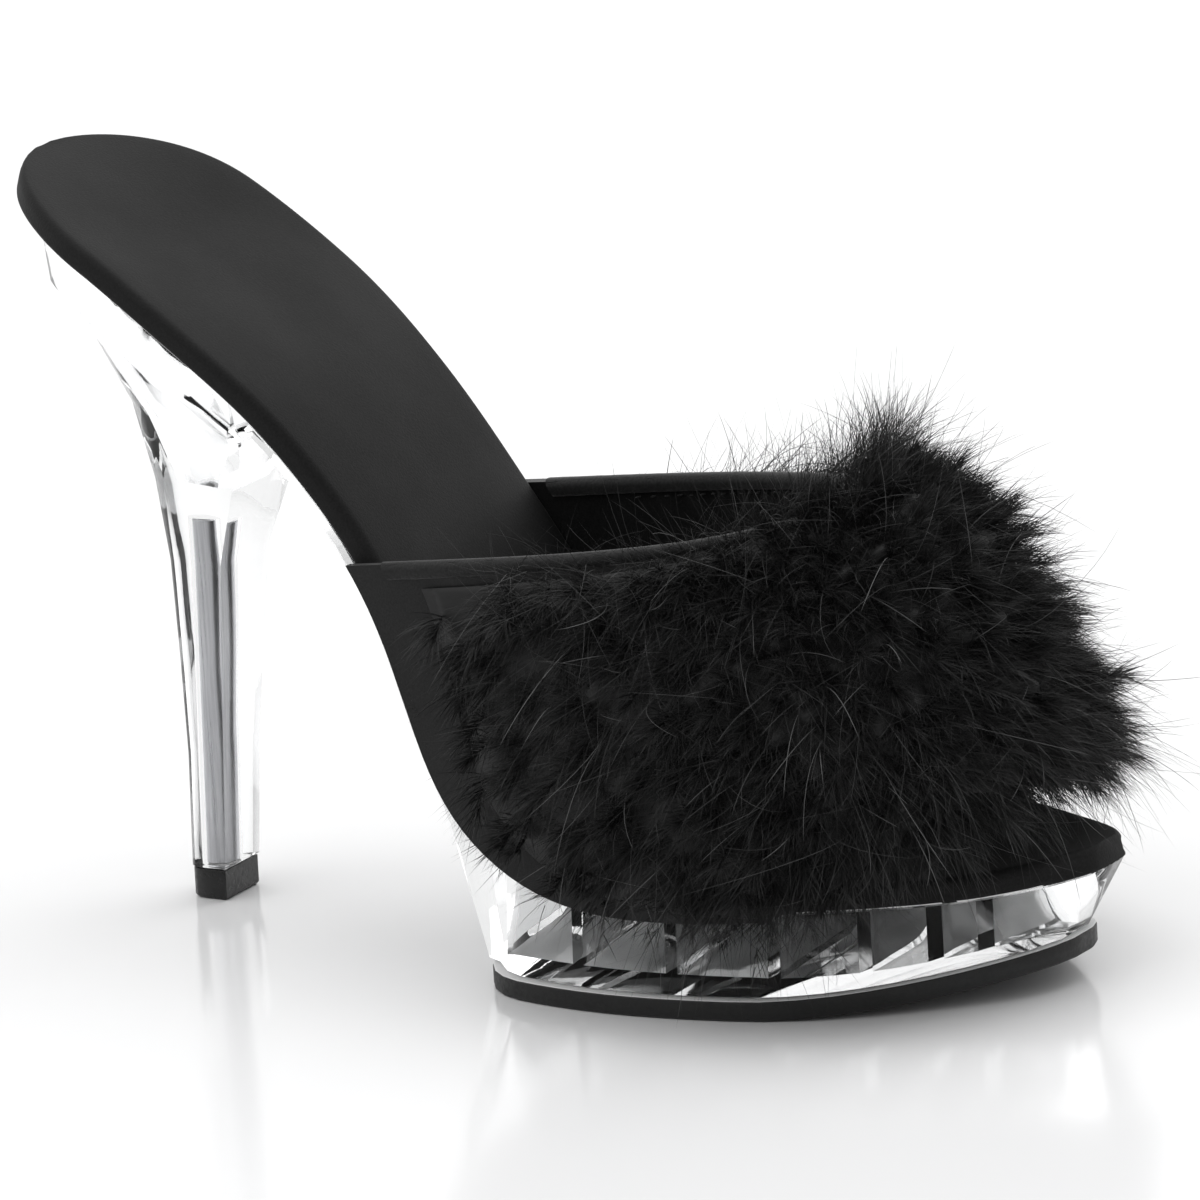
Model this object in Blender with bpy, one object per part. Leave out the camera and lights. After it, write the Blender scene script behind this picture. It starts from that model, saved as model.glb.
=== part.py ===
"""High-heeled marabou mule: clear platform and heel, padded insole, satin band and feather trim.

Frame: the toe points along +X, the shoe's inner side is -Y, the floor is z = 0, and the origin
lies under the ball of the foot on the outsole's flat spot. Units are metres.
Every form is worked out from the sizes below and from short tables of shares.
"""
import math

import bmesh
import bpy
import numpy as np
from mathutils import Vector

for old in list(bpy.data.objects):
    bpy.data.objects.remove(old, do_unlink=True)

# driving sizes
LAST_LENGTH = 0.2426        # along the insole from the back of the heel to the toe
SEAT_HEIGHT = 0.1263        # insole top at the back of the heel, above the floor
INSTEP_HEIGHT = 0.0561      # band's crown at the collar, above the insole at the ball
BALL_HEIGHT = 0.0204        # insole top at the ball, above the floor
BALL_HALF = 0.0364          # half the insole's width at the ball
REAR_X = -0.1289            # back end of the insole
INSOLE_THICKNESS = 0.0042
WAIST_LIFT = 0.0021         # rise of the waist above the plain slope
SEAT_CUP = 0.0012           # hollow of the heel seat
HEEL_ROUND = 0.027          # length of the rounded back end
TOE_ROUND = 0.036           # length of the rounded toe end
TOE_SQUARE = 2.3            # fullness of the insole's toe
SOLE_TOE_SQUARE = 2.8       # fullness of the outsole's toe
FIT = 0.0003                # gap between pieces that touch
OUTSOLE_THICKNESS = 0.0035
TOE_SPRING = 0.0055
OUTSOLE_BACK = -0.0345
OUTSOLE_FLARE = 0.0030      # outsole beyond the insole's edge at the ball
TOE_INSET = 0.0048          # outsole's toe behind the insole's toe
SHANK_THICKNESS = 0.0040
UNIT_WALL = 0.0026          # wall round the platform's pockets
UNIT_FLOOR = 0.0022
RIB = 0.0020
TIP_HEIGHT = 0.0052
DOWEL_RADIUS = 0.0024
DOWEL_BORE = 0.0014
DOWEL_COVER = 0.0065        # clear plastic between the dowel and the cup
BAND_WALL = 0.0016
BINDING_WIDTH = 0.0036
BINDING_STEP = 0.0007
BAND_SIDE_GAP = 0.0007      # band beside the insole's edge
FUR_GAP = 0.0006
LOCK_CLEAR = 0.0085         # lowest lock above the floor
BED_CLEAR = 0.0150          # lowest down between the locks
FUR_BED = 0.0085            # depth of the closed bed of down
LOCK_LENGTH = 0.0100        # locks beyond the bed

# last: share of length, slope in degrees, half width and centre as shares of the ball's half width
LAST_COLUMNS = ("along", "slope", "half", "centre")
LAST = (
    (0.00, 14.0, 0.680, 0.065),
    (0.10, 29.5, 0.735, 0.045),
    (0.20, 38.0, 0.755, 0.015),
    (0.30, 51.0, 0.712, 0.025),
    (0.40, 59.0, 0.705, 0.045),
    (0.50, 62.0, 0.802, 0.060),
    (0.60, 34.5, 0.952, 0.015),
    (0.70, 3.5, 1.000, -0.020),
    (0.80, -4.0, 0.905, -0.020),
    (0.90, -2.0, 0.690, 0.005),
    (1.00, -12.0, 0.440, 0.040),
)

# band: share along the insole where a hoop starts, its crown's place ahead of the ball as a share
# of the last's length and above it as a share of the instep, and how square it is
BAND_COLUMNS = ("along", "crown_ahead", "crown_up", "square")
BAND = (
    (0.395, 0.0824, 1.0000, 3.6),
    (0.480, 0.1113, 0.9465, 3.3),
    (0.565, 0.1401, 0.8271, 3.0),
    (0.650, 0.1669, 0.6791, 2.7),
    (0.735, 0.1917, 0.5187, 2.5),
    (0.815, 0.2143, 0.3672, 2.3),
)

# heel: a section's back and front, from the back of the insole as shares of the last's length and
# above the floor as shares of the seat's height, and its width as a share of the ball's half width
HEEL_COLUMNS = ("back", "back_up", "front", "front_up", "width")
HEEL = (
    (0.0954, 0.0435, 0.1276, 0.0435, 0.308),
    (0.0981, 0.1971, 0.1327, 0.1971, 0.330),
    (0.0975, 0.3317, 0.1383, 0.3317, 0.379),
    (0.0958, 0.4663, 0.1449, 0.4663, 0.434),
    (0.0894, 0.5819, 0.1632, 0.5717, 0.563),
    (0.0787, 0.6968, 0.1797, 0.6215, 0.742),
    (0.0585, 0.7997, 0.1917, 0.6556, 1.003),
    (0.0305, 0.8868, 0.2020, 0.6785, 1.250),
)
HEEL_TOP_ALONG = (0.012, 0.272)   # shares of the insole that the heel's top spans
HEEL_TOP_INSET = 0.0012

# platform ribs, measured from the ball toward the toe
RIB_PLACES = (-0.0130, 0.0040, 0.0210, 0.0350, 0.0446, 0.0508)
POCKET_BACK = -0.0270
POCKET_FRONT = 0.0575


def column(table, names, name):
    """One named column of a table as an array."""
    return np.array([row[names.index(name)] for row in table], float)


def smooth(xs, ys, x):
    """Smooth curve through the rows of a table."""
    x = np.clip(np.asarray(x, float), xs[0], xs[-1])
    slopes = np.gradient(ys, xs)
    i = np.clip(np.searchsorted(xs, x, side="right") - 1, 0, len(xs) - 2)
    step = xs[i + 1] - xs[i]
    t = (x - xs[i]) / step
    a = 2 * t**3 - 3 * t**2 + 1
    b = t**3 - 2 * t**2 + t
    c = -2 * t**3 + 3 * t**2
    d = t**3 - t**2
    return a * ys[i] + b * step * slopes[i] + c * ys[i + 1] + d * step * slopes[i + 1]


ALONG = column(LAST, LAST_COLUMNS, "along")
SLOPE = column(LAST, LAST_COLUMNS, "slope")
HALF = column(LAST, LAST_COLUMNS, "half") * BALL_HALF
CENTRE = column(LAST, LAST_COLUMNS, "centre") * BALL_HALF

FINE = np.linspace(0, 1, 801)
FINE_SLOPE = np.radians(smooth(ALONG, SLOPE, FINE))
STEP = LAST_LENGTH / 800
FINE_X = REAR_X + STEP * np.concatenate([[0], np.cumsum(0.5 * (np.cos(FINE_SLOPE[1:]) + np.cos(FINE_SLOPE[:-1])))])
DROP = STEP * np.concatenate([[0], np.cumsum(0.5 * (np.sin(FINE_SLOPE[1:]) + np.sin(FINE_SLOPE[:-1])))])
BALL_DROP = float(np.interp(0.72, FINE, DROP))
FINE_Z = SEAT_HEIGHT - DROP * (SEAT_HEIGHT - BALL_HEIGHT) / BALL_DROP


def spine(u, depth=0.0):
    """Point of the insole's middle line at share u, sunk by depth square to it."""
    slope = np.interp(u, FINE, FINE_SLOPE)
    lift = WAIST_LIFT * np.exp(-((np.asarray(u) - 0.42) / 0.17) ** 2) - depth
    return (np.interp(u, FINE, FINE_X) + np.sin(slope) * lift,
            np.interp(u, FINE, FINE_Z) + np.cos(slope) * lift)


def half_width(u):
    """Half width of the insole with its rounded ends."""
    s = np.asarray(u) * LAST_LENGTH
    back = np.sqrt(np.clip(1 - (1 - np.minimum(s / HEEL_ROUND, 1)) ** 2, 0, 1))
    tip = 1 - np.minimum((LAST_LENGTH - s) / TOE_ROUND, 1)
    front = np.clip(1 - tip**TOE_SQUARE, 0, 1) ** (1 / TOE_SQUARE)
    return smooth(ALONG, HALF, u) * back * front


def centre(u):
    """Sideways place of the insole's middle."""
    return smooth(ALONG, CENTRE, u)


def along_at(x, depth=0.0):
    """Share of the insole whose sunk middle line lies over x."""
    xs, _ = spine(FINE, depth)
    return np.interp(x, xs, FINE)


def under_insole(x):
    """Height just under the insole at x."""
    _, z = spine(along_at(x, INSOLE_THICKNESS + FIT), INSOLE_THICKNESS + FIT)
    return z


def sole_rise(x):
    """Height of the outsole's underside at x: flat at the ball, then toe spring."""
    start = 0.0170
    end = 0.0620
    t = np.clip((np.asarray(x) - start) / (end - start), 0, 1)
    return TOE_SPRING * t**1.8


def add_object(name, bm, colour, roughness, transmission=0.0, metallic=0.0):
    """Put a finished mesh in the scene with its own material."""
    bmesh.ops.remove_doubles(bm, verts=bm.verts[:], dist=0.00001)
    bmesh.ops.recalc_face_normals(bm, faces=bm.faces[:])
    mesh = bpy.data.meshes.new(name)
    bm.to_mesh(mesh)
    bm.free()
    mesh.shade_smooth()
    mesh.set_sharp_from_angle(angle=math.radians(40))
    obj = bpy.data.objects.new(name, mesh)
    bpy.context.scene.collection.objects.link(obj)
    mat = bpy.data.materials.new(name)
    mat.use_nodes = True
    shader = mat.node_tree.nodes["Principled BSDF"]
    shader.inputs["Base Color"].default_value = (*colour, 1)
    shader.inputs["Roughness"].default_value = roughness
    shader.inputs["Transmission Weight"].default_value = transmission
    shader.inputs["Metallic"].default_value = metallic
    mesh.materials.append(mat)
    return obj


def loft(bm, rings):
    """Skin a list of equal rings and close both ends."""
    rows = [[bm.verts.new(p) for p in ring] for ring in rings]
    count = len(rows[0])
    for a, b in zip(rows[:-1], rows[1:]):
        for j in range(count):
            k = (j + 1) % count
            bm.faces.new((a[j], a[k], b[k], b[j]))
    bm.faces.new(rows[0][::-1])
    bm.faces.new(rows[-1])
    return rows


def cut(obj, cutters):
    """Cut closed bodies out of an object."""
    for cutter in cutters:
        cutter.hide_render = True
        cutter.display_type = "WIRE"
        mod = obj.modifiers.new("cut", "BOOLEAN")
        mod.operation = "DIFFERENCE"
        mod.solver = "EXACT"
        mod.object = cutter
    bpy.context.view_layer.update()
    graph = bpy.context.evaluated_depsgraph_get()
    mesh = bpy.data.meshes.new_from_object(obj.evaluated_get(graph))
    obj.modifiers.clear()
    old = obj.data
    obj.data = mesh
    mesh.name = obj.name
    bpy.data.meshes.remove(old)
    for cutter in cutters:
        data = cutter.data
        bpy.data.objects.remove(cutter, do_unlink=True)
        bpy.data.meshes.remove(data)


def cutter_from(name, rings):
    """A plain closed body to cut with."""
    bm = bmesh.new()
    loft(bm, rings)
    bmesh.ops.recalc_face_normals(bm, faces=bm.faces[:])
    mesh = bpy.data.meshes.new(name)
    bm.to_mesh(mesh)
    bm.free()
    obj = bpy.data.objects.new(name, mesh)
    bpy.context.scene.collection.objects.link(obj)
    return obj


def round_shares(count, first=0.004, last=0.997):
    """Shares of length, closer together at the rounded ends."""
    t = np.linspace(0, 1, count)
    ends = 0.5 - 0.5 * np.cos(np.pi * t)
    return first + (last - first) * (0.6 * ends + 0.4 * t)


# insole: padded footbed with a rounded top edge
def insole_ring(u):
    """Cross-section of the insole at share u."""
    half = float(half_width(u))
    mid = float(centre(u))
    edge = min(0.0016, half * 0.5)
    cup = SEAT_CUP * math.exp(-((u - 0.12) / 0.10) ** 2)
    ring = []
    for share, depth in ((-0.96, 1.0), (0.0, 1.0), (0.96, 1.0)):
        x, z = spine(u, depth * INSOLE_THICKNESS)
        ring.append((float(x), mid + share * half, float(z)))
    for out, depth in ((0.0, 0.72), (0.0, 0.35), (0.45, 0.08)):
        x, z = spine(u, depth * INSOLE_THICKNESS)
        ring.append((float(x), mid + half - out * edge, float(z)))
    for share in (0.66, 0.33, 0.0, -0.33, -0.66):
        x, z = spine(u, cup * (1 - share**2))
        ring.append((float(x), mid + share * half, float(z)))
    for out, depth in ((0.45, 0.08), (0.0, 0.35), (0.0, 0.72)):
        x, z = spine(u, depth * INSOLE_THICKNESS)
        ring.append((float(x), mid - half + out * edge, float(z)))
    return ring


bm = bmesh.new()
loft(bm, [insole_ring(float(u)) for u in round_shares(38)])
add_object("insole", bm, (0.012, 0.012, 0.013), 0.6)


# outsole: flat rubber sheet, outline from the insole's own edge
def sole_edges(x, grow=0.0):
    """Near and far edge of the outsole at x, grown by a margin."""
    x = np.asarray(x, float)
    front = float(spine(0.997)[0]) - TOE_INSET + grow
    back = OUTSOLE_BACK - grow
    u = along_at(x)
    toward_toe = np.clip((x - 0.020) / (front - 0.020), 0, 1)
    flare = OUTSOLE_FLARE - (OUTSOLE_FLARE + TOE_INSET * 0.75) * toward_toe**1.5 + grow
    half = smooth(ALONG, HALF, u) + flare
    tip = 1 - np.clip((front - x) / TOE_ROUND, 0, 1)
    toe = np.clip(1 - tip**SOLE_TOE_SQUARE, 0, 1) ** (1 / SOLE_TOE_SQUARE)
    heel = np.clip(1 - (1 - np.clip((x - back) / 0.014, 0, 1)) ** 2.6, 0, 1) ** (1 / 2.6)
    mid = centre(u)
    half = half * toe * (0.45 + 0.55 * heel)
    return mid - half, mid + half


def sole_stations(count, grow=0.0):
    """x of the outsole's sections from back to toe."""
    front = float(spine(0.997)[0]) - TOE_INSET + grow
    back = OUTSOLE_BACK - grow
    t = np.linspace(0, 1, count)
    ends = 0.5 - 0.5 * np.cos(np.pi * t)
    return back + 0.00002 + (front - back - 0.0003) * (0.75 * ends + 0.25 * t)


def sole_ring(x):
    """Cross-section of the outsole at x."""
    near, far = (float(v) for v in sole_edges(x))
    low = float(sole_rise(x))
    high = low + OUTSOLE_THICKNESS
    slant = 0.0004
    ring = [(x, near + slant, low), (x, far - slant, low), (x, far, low + slant), (x, far, high)]
    return ring + [(x, near, high), (x, near, low + slant)]


bm = bmesh.new()
loft(bm, [sole_ring(float(x)) for x in sole_stations(26)])
add_object("outsole", bm, (0.02, 0.02, 0.02), 0.55)


# platform: clear unit with the shank strip in one piece
def unit_ring(u_top, bottom, half_top, half_bottom, mid_top, mid_bottom):
    """Section from the underside of the insole at u_top down to a lower line."""
    tx, tz = (float(v) for v in spine(u_top, INSOLE_THICKNESS + FIT))
    bx, bz = bottom
    lip = 0.0012
    k = min(0.5, lip / max(1e-6, math.hypot(tx - bx, tz - bz)))
    sx = tx + (bx - tx) * k
    sz = tz + (bz - tz) * k
    return [
        (bx, mid_bottom - half_bottom, bz), (bx, mid_bottom + half_bottom, bz),
        (sx, mid_top + half_top, sz), (tx, mid_top + half_top, tz),
        (tx, mid_top - half_top, tz), (sx, mid_top - half_top, sz),
    ]


UNIT_INSET = 0.0006
SHANK_BACK = HEEL_TOP_ALONG[1] + 0.0035
rings = []
for u in np.linspace(SHANK_BACK, 0.535, 11):
    half = float(half_width(u))
    grown = (u - SHANK_BACK) / (0.535 - SHANK_BACK)
    low_half = half * (0.80 + 0.08 * grown)
    bx, bz = (float(v) for v in spine(u, INSOLE_THICKNESS + FIT + SHANK_THICKNESS))
    rings.append(unit_ring(float(u), (bx, bz), half - UNIT_INSET, low_half, float(centre(u)), float(centre(u))))
# the back wall of the platform: top points crawl while the lower line drops to the outsole
base = OUTSOLE_THICKNESS + FIT
wall_lean = 0.0030
for share, u in ((0.25, 0.545), (0.60, 0.556), (1.0, 0.568)):
    sx, sz = (float(v) for v in spine(0.545, INSOLE_THICKNESS + FIT + SHANK_THICKNESS))
    x_low = OUTSOLE_BACK + 0.0014
    bx = sx + (x_low - sx) * share**0.8
    bz = sz + (base - sz) * share
    half = float(half_width(u))
    near, far = (float(v) for v in sole_edges(x_low + 0.0012))
    full = 0.5 * (far - near) - 0.0010
    low_half = half * 0.88 + (full - half * 0.88) * share
    low_mid = float(centre(u)) + (0.5 * (near + far) - float(centre(u))) * share
    rings.append(unit_ring(u, (bx, bz), half - UNIT_INSET, low_half, float(centre(u)), low_mid))
UNIT_TOE_U = 0.992
low_start = OUTSOLE_BACK + 0.0014
low_end = float(spine(0.997)[0]) - TOE_INSET - 0.0016
for t in np.linspace(0, 1, 21)[1:]:
    ease = 0.62 * t + 0.38 * (0.5 - 0.5 * math.cos(math.pi * t))
    u = 0.568 + (UNIT_TOE_U - 0.568) * ease
    x = low_start + (low_end - low_start) * ease
    near, far = (float(v) for v in sole_edges(x, -0.0010))
    half = float(half_width(u)) - UNIT_INSET
    z = base + float(sole_rise(x))
    rings.append(unit_ring(u, (x, z), half, 0.5 * (far - near) - 0.0004, float(centre(u)), 0.5 * (near + far)))
bm = bmesh.new()
loft(bm, rings)
platform = add_object("platform", bm, (0.9, 0.93, 0.95), 0.05, transmission=0.9)

edges = (POCKET_BACK,) + RIB_PLACES + (POCKET_FRONT,)
pockets = []
for i, (back, front) in enumerate(zip(edges[:-1], edges[1:])):
    a = back + (RIB / 2 if i else 0)
    b = front - (RIB / 2 if i < len(edges) - 2 else 0)
    rings = []
    for x in np.linspace(a, b, 4):
        near, far = (float(v) for v in sole_edges(x, -0.0010))
        u = float(along_at(x))
        top_half = float(half_width(u)) - UNIT_INSET
        near = max(near, float(centre(u)) - top_half) + UNIT_WALL
        far = min(far, float(centre(u)) + top_half) - UNIT_WALL
        low = base + float(sole_rise(x)) + UNIT_FLOOR
        high = float(under_insole(x)) + 0.006
        rings.append([(x, near, low), (x, far, low), (x, far, high), (x, near, high)])
    pockets.append(cutter_from("pocket", rings))
cut(platform, pockets)


# heel: D-shaped column with a flat breast, which opens into a cup under the seat
HEEL_POINTS = 18


def heel_profile(j, count=HEEL_POINTS):
    """Unit D: flat front and sides with sharp front corners, and a rounded back."""
    a = 2 * math.pi * (j + 0.5) / count
    c, s = math.cos(a), math.sin(a)
    side = 1 if s > 0 else -1
    if c > -1e-9:
        return min(1.0, 1.56 * c), side * min(1.0, 1.31 * abs(s))
    return -(abs(c) ** (2 / 3.0)), side * abs(s) ** (2 / 3.0)


def heel_ring(back, front, width, mid, shrink=0.0):
    """Closed section between a back and a front point."""
    bx, bz = back
    fx, fz = front
    length = math.hypot(fx - bx, fz - bz)
    ux, uz = (fx - bx) / length, (fz - bz) / length
    ring = []
    for j in range(HEEL_POINTS):
        along, across = heel_profile(j)
        d = along * (0.5 * length - shrink) + 0.5 * length
        ring.append((bx + ux * d, mid + across * (0.5 * width - shrink), bz + uz * d))
    return ring


heel_mid = float(centre(sum(HEEL_TOP_ALONG) / 2))
heel_rows = [
    (REAR_X + back * LAST_LENGTH, back_up * SEAT_HEIGHT, REAR_X + front * LAST_LENGTH, front_up * SEAT_HEIGHT,
     width * BALL_HALF)
    for back, back_up, front, front_up, width in HEEL
]
COLUMN_FOOT = TIP_HEIGHT + FIT
foot_row = heel_rows[0]
heel_rows[0] = (foot_row[0], COLUMN_FOOT, foot_row[2], COLUMN_FOOT, foot_row[4])
rings = [heel_ring((r[0], r[1]), (r[2], r[3]), r[4], heel_mid) for r in heel_rows]


def heel_top_ring(inset, sink, points=HEEL_POINTS):
    """Top of the heel under the insole, following its curve and its outline."""
    u0, u1 = HEEL_TOP_ALONG
    u0 = u0 + inset / LAST_LENGTH
    u1 = u1 - inset / LAST_LENGTH
    ring = []
    for j in range(points):
        a = 2 * math.pi * (j + 0.5) / points
        c, s = math.cos(a), math.sin(a)
        power = 2 / 3.4 if c > 0 else 2 / 2.3
        along = abs(c) ** power * (1 if c > 0 else -1)
        u = 0.5 * (u0 + u1) + 0.5 * (u1 - u0) * along
        side = abs(s) ** (2 / 2.6) * (1 if s > 0 else -1)
        x, z = (float(v) for v in spine(u, INSOLE_THICKNESS + FIT + sink))
        limit = max(0.001, float(half_width(min(u + 0.004, 0.5))) - HEEL_TOP_INSET - inset)
        y = float(centre(u)) + limit * min(1.0, abs(side) * 1.06) * (1 if side > 0 else -1)
        ring.append((x, y, z))
    return ring


def heel_body(ring_list, top):
    """Loft the column and close its top with strips that follow the insole."""
    bm = bmesh.new()
    rows = [[bm.verts.new(p) for p in ring] for ring in ring_list + [top]]
    count = len(rows[0])
    for a, b in zip(rows[:-1], rows[1:]):
        for j in range(count):
            k = (j + 1) % count
            bm.faces.new((a[j], a[k], b[k], b[j]))
    bm.faces.new(rows[0][::-1])
    last = rows[-1]
    half = count // 2
    for j in range(half - 1):
        bm.faces.new((last[j], last[j + 1], last[count - 2 - j], last[count - 1 - j]))
    return bm


heel = add_object("heel", heel_body(rings, heel_top_ring(0.0, 0.0)), (0.9, 0.93, 0.95), 0.05, transmission=0.9)

cup_rings = []
for k, shrink in ((4, 0.0046), (5, 0.0040), (6, 0.0036), (7, 0.0032)):
    row = heel_rows[k]
    cup_rings.append(heel_ring((row[0], row[1]), (row[2], row[3]), row[4], heel_mid, shrink=shrink))
cup_top = heel_top_ring(0.0034, 0.0)
over = [(x + 0.004, y, z + 0.008) for x, y, z in cup_top]
bm = heel_body(cup_rings + [cup_top], over)
bmesh.ops.recalc_face_normals(bm, faces=bm.faces[:])
mesh = bpy.data.meshes.new("cup")
bm.to_mesh(mesh)
bm.free()
cup = bpy.data.objects.new("cup", mesh)
bpy.context.scene.collection.objects.link(cup)


def turn(radius, x, y, z, count=20):
    """A level circle."""
    return [(x + radius * math.cos(2 * math.pi * j / count), y + radius * math.sin(2 * math.pi * j / count), z)
            for j in range(count)]


CUP_ROW = heel_rows[4]
DOWEL_X = 0.5 * (foot_row[0] + foot_row[2])
DOWEL_LEAN = 0.5 * (heel_rows[3][0] + heel_rows[3][2]) - DOWEL_X
DOWEL_TOP = min(CUP_ROW[1], CUP_ROW[3]) - DOWEL_COVER
bore = cutter_from("bore", [
    turn(DOWEL_RADIUS + FIT, DOWEL_X, heel_mid, 0.0),
    turn(DOWEL_RADIUS + FIT, DOWEL_X + DOWEL_LEAN, heel_mid, DOWEL_TOP + FIT),
])
cut(heel, [cup, bore])

# dowel: rolled steel tube inside the heel
low = COLUMN_FOOT + FIT
share = low / (DOWEL_TOP + FIT)
bm = bmesh.new()
outer_low = turn(DOWEL_RADIUS, DOWEL_X + DOWEL_LEAN * share, heel_mid, low)
outer_high = turn(DOWEL_RADIUS, DOWEL_X + DOWEL_LEAN, heel_mid, DOWEL_TOP)
inner_low = turn(DOWEL_BORE, DOWEL_X + DOWEL_LEAN * share, heel_mid, low)
inner_high = turn(DOWEL_BORE, DOWEL_X + DOWEL_LEAN, heel_mid, DOWEL_TOP)
loops = [[bm.verts.new(p) for p in ring] for ring in (outer_low, outer_high, inner_high, inner_low)]
for a, b in zip(loops, loops[1:] + loops[:1]):
    for j in range(len(a)):
        k = (j + 1) % len(a)
        bm.faces.new((a[j], a[k], b[k], b[j]))
add_object("heel_dowel", bm, (0.35, 0.35, 0.37), 0.3, metallic=1.0)

# heel tip: the rubber top piece
tip_row = foot_row
bm = bmesh.new()
grow = 0.0002
loft(bm, [
    heel_ring((tip_row[0], 0.0), (tip_row[2], 0.0), tip_row[4], heel_mid, shrink=grow + 0.0004),
    heel_ring((tip_row[0], 0.0005), (tip_row[2], 0.0005), tip_row[4], heel_mid, shrink=grow),
    heel_ring((tip_row[0], TIP_HEIGHT), (tip_row[2], TIP_HEIGHT), tip_row[4], heel_mid, shrink=grow),
])
add_object("heel_tip", bm, (0.02, 0.02, 0.02), 0.5)


# upper: hooped band, inner face from the last, wall added outward
B_ALONG = column(BAND, BAND_COLUMNS, "along")
B_X = column(BAND, BAND_COLUMNS, "crown_ahead") * LAST_LENGTH
B_Z = BALL_HEIGHT + column(BAND, BAND_COLUMNS, "crown_up") * INSTEP_HEIGHT
B_SQUARE = column(BAND, BAND_COLUMNS, "square")
B_SHARE = (B_ALONG - B_ALONG[0]) / (B_ALONG[-1] - B_ALONG[0])


def hoop_point(s, t):
    """Inner face of the band: s from collar to toe edge, t over the foot from near to far side."""
    u = float(smooth(B_SHARE, B_ALONG, s))
    foot_x, foot_z = (float(v) for v in spine(u, INSOLE_THICKNESS))
    half = float(half_width(u)) + BAND_SIDE_GAP
    mid = float(centre(u))
    crown_x = float(smooth(B_SHARE, B_X, s))
    crown_z = float(smooth(B_SHARE, B_Z, s))
    square = float(smooth(B_SHARE, B_SQUARE, s))
    a = math.pi * t
    rise = abs(math.sin(a)) ** (2 / square)
    side = -math.cos(a)
    return np.array([foot_x + (crown_x - foot_x) * rise, mid + side * half, foot_z + (crown_z - foot_z) * rise])


def hoop_normal(s, t):
    """Outward direction of the band."""
    e = 0.002
    t0 = min(max(t, 0.012), 0.988)
    ds = hoop_point(min(s + e, 1), t0) - hoop_point(max(s - e, 0), t0)
    dt = hoop_point(s, t0 + e) - hoop_point(s, t0 - e)
    n = np.cross(dt, ds)
    return n / np.linalg.norm(n)


def outward(s, t):
    """Outward direction, always away from the foot."""
    n = hoop_normal(s, t)
    u = float(smooth(B_SHARE, B_ALONG, s))
    x, z = (float(v) for v in spine(u))
    core = np.array([x + 0.018, float(centre(u)), z + 0.010])
    return n if float(np.dot(n, hoop_point(s, t) - core)) > 0 else -n


def hoop_length(t):
    """Length of the band from its collar to its toe edge at t."""
    points = np.array([hoop_point(s, t) for s in np.linspace(0, 1, 13)])
    return float(np.sum(np.linalg.norm(np.diff(points, axis=0), axis=1)))


def level(width, t):
    """Share s that lies a given width below the collar, so that a strip keeps one width."""
    return width / hoop_length(t)


BAND_COLS = 29
BAND_ROWS = 10
COLS = 0.5 - 0.5 * np.cos(np.pi * np.linspace(0, 1, BAND_COLS))
COLS = 0.45 * COLS + 0.55 * np.linspace(0, 1, BAND_COLS)


def band_rows(t):
    """Shares s and wall thicknesses of the band's points at t: binding first, then the plain wall."""
    edge = level(BINDING_WIDTH, t)
    foot = level(BINDING_WIDTH + 0.0008, t)
    rows = [(0.0, BAND_WALL + 0.4 * BINDING_STEP), (0.3 * edge, BAND_WALL + BINDING_STEP)]
    rows += [(edge, BAND_WALL + BINDING_STEP), (foot, BAND_WALL)]
    rows += [(float(s), BAND_WALL) for s in np.linspace(foot, 1.0, BAND_ROWS + 1)[1:]]
    return rows


def sheet(bm, inner, outer):
    """Closed body between two equal grids of points."""
    rows = len(inner)
    cols = len(inner[0])
    a = [[bm.verts.new(p) for p in row] for row in inner]
    b = [[bm.verts.new(p) for p in row] for row in outer]
    for i in range(rows - 1):
        for j in range(cols - 1):
            bm.faces.new((a[i][j], a[i + 1][j], a[i + 1][j + 1], a[i][j + 1]))
            bm.faces.new((b[i][j], b[i][j + 1], b[i + 1][j + 1], b[i + 1][j]))
    for i in range(rows - 1):
        bm.faces.new((a[i][0], b[i][0], b[i + 1][0], a[i + 1][0]))
        bm.faces.new((a[i][-1], a[i + 1][-1], b[i + 1][-1], b[i][-1]))
    for j in range(cols - 1):
        bm.faces.new((a[0][j], a[0][j + 1], b[0][j + 1], b[0][j]))
        bm.faces.new((a[-1][j], b[-1][j], b[-1][j + 1], a[-1][j + 1]))


inner = []
outer = []
for t in COLS:
    rows = band_rows(float(t))
    inner.append([tuple(hoop_point(s, t)) for s, _ in rows])
    outer.append([tuple(hoop_point(s, t) + outward(s, t) * wall) for s, wall in rows])
bm = bmesh.new()
sheet(bm, inner, outer)
add_object("upper", bm, (0.01, 0.01, 0.012), 0.45)


# marabou trim: a bed of down over the band with locks fused on, hanging over the toe edge
FUR_ROWS = 22
FUR_COLS = 47
FUR_ENDS = 0.012            # share of the hoop left free at each side
HANG = (20.0, 42.0, 64.0)   # degrees by which the last rows turn down past the toe edge
DOWN = np.array([0.0, 0.0, -1.0])
TOEWARD = np.array([1.0, 0.0, 0.0])


def wave(i, j, k):
    """Repeatable unevenness between 0 and 1."""
    return 0.5 + 0.5 * math.sin(i * 12.9898 + j * 78.233 + k * 37.719)


def fur_heading(s, t, droop):
    """Way that the down points: outward, sinking at the sides and toward the toe."""
    side = abs(math.cos(math.pi * t)) ** 1.5
    toe = s**2 * (1 - 0.6 * side)
    sink = DOWN * (0.14 + 0.55 * side + 0.85 * toe + droop)
    way = outward(s, t) + sink + TOEWARD * (0.18 * toe - 0.05 * (1 - s))
    return way / np.linalg.norm(way)


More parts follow.
